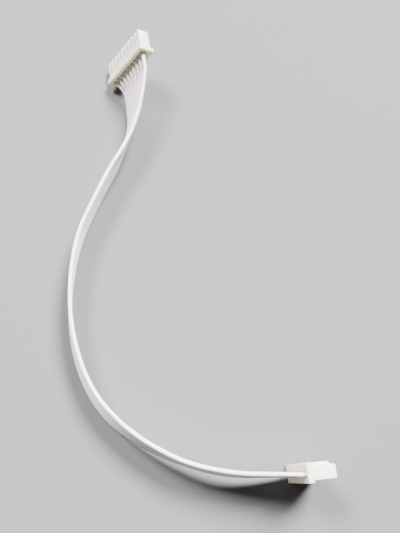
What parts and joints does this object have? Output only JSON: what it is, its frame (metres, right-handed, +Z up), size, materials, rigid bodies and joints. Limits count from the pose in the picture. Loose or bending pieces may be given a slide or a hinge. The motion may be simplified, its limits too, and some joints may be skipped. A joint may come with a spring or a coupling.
{
  "type": "ribbon connector lead",
  "caption": "Flat white ribbon lead standing on edge in a long curve, with a slotted crimp plug in pale nylon on each end.",
  "frame": {"origin": "On the bench, below the middle of the box round the two plugs.", "axes": "+Z up, +Y from plug A to plug B, +X from the ribbon's bend towards plug A."},
  "size_m": [0.0892, 0.1639, 0.0252],
  "materials": {
    "nylon": "natural nylon, satin",
    "insulation": "white vinyl, satin",
    "contact_metal": "tin-plated brass",
    "strand_metal": "bare copper strands"
  },
  "bodies": {
    "root": {"housing_a": "nylon", "housing_b": "nylon", "ribbon": "insulation", "contact_a_1": "contact_metal", "conductor_a_1": "strand_metal", "contact_a_2": "contact_metal", "conductor_a_2": "strand_metal", "contact_a_3": "contact_metal", "conductor_a_3": "strand_metal", "contact_a_4": "contact_metal", "conductor_a_4": "strand_metal", "contact_a_5": "contact_metal", "conductor_a_5": "strand_metal", "contact_a_6": "contact_metal", "conductor_a_6": "strand_metal", "contact_a_7": "contact_metal", "conductor_a_7": "strand_metal", "contact_a_8": "contact_metal", "conductor_a_8": "strand_metal", "contact_a_9": "contact_metal", "conductor_a_9": "strand_metal", "contact_b_1": "contact_metal", "conductor_b_1": "strand_metal", "contact_b_2": "contact_metal", "conductor_b_2": "strand_metal", "contact_b_3": "contact_metal", "conductor_b_3": "strand_metal", "contact_b_4": "contact_metal", "conductor_b_4": "strand_metal", "contact_b_5": "contact_metal", "conductor_b_5": "strand_metal", "contact_b_6": "contact_metal", "conductor_b_6": "strand_metal", "contact_b_7": "contact_metal", "conductor_b_7": "strand_metal", "contact_b_8": "contact_metal", "conductor_b_8": "strand_metal", "contact_b_9": "contact_metal", "conductor_b_9": "strand_metal"}
  },
  "joints": []
}
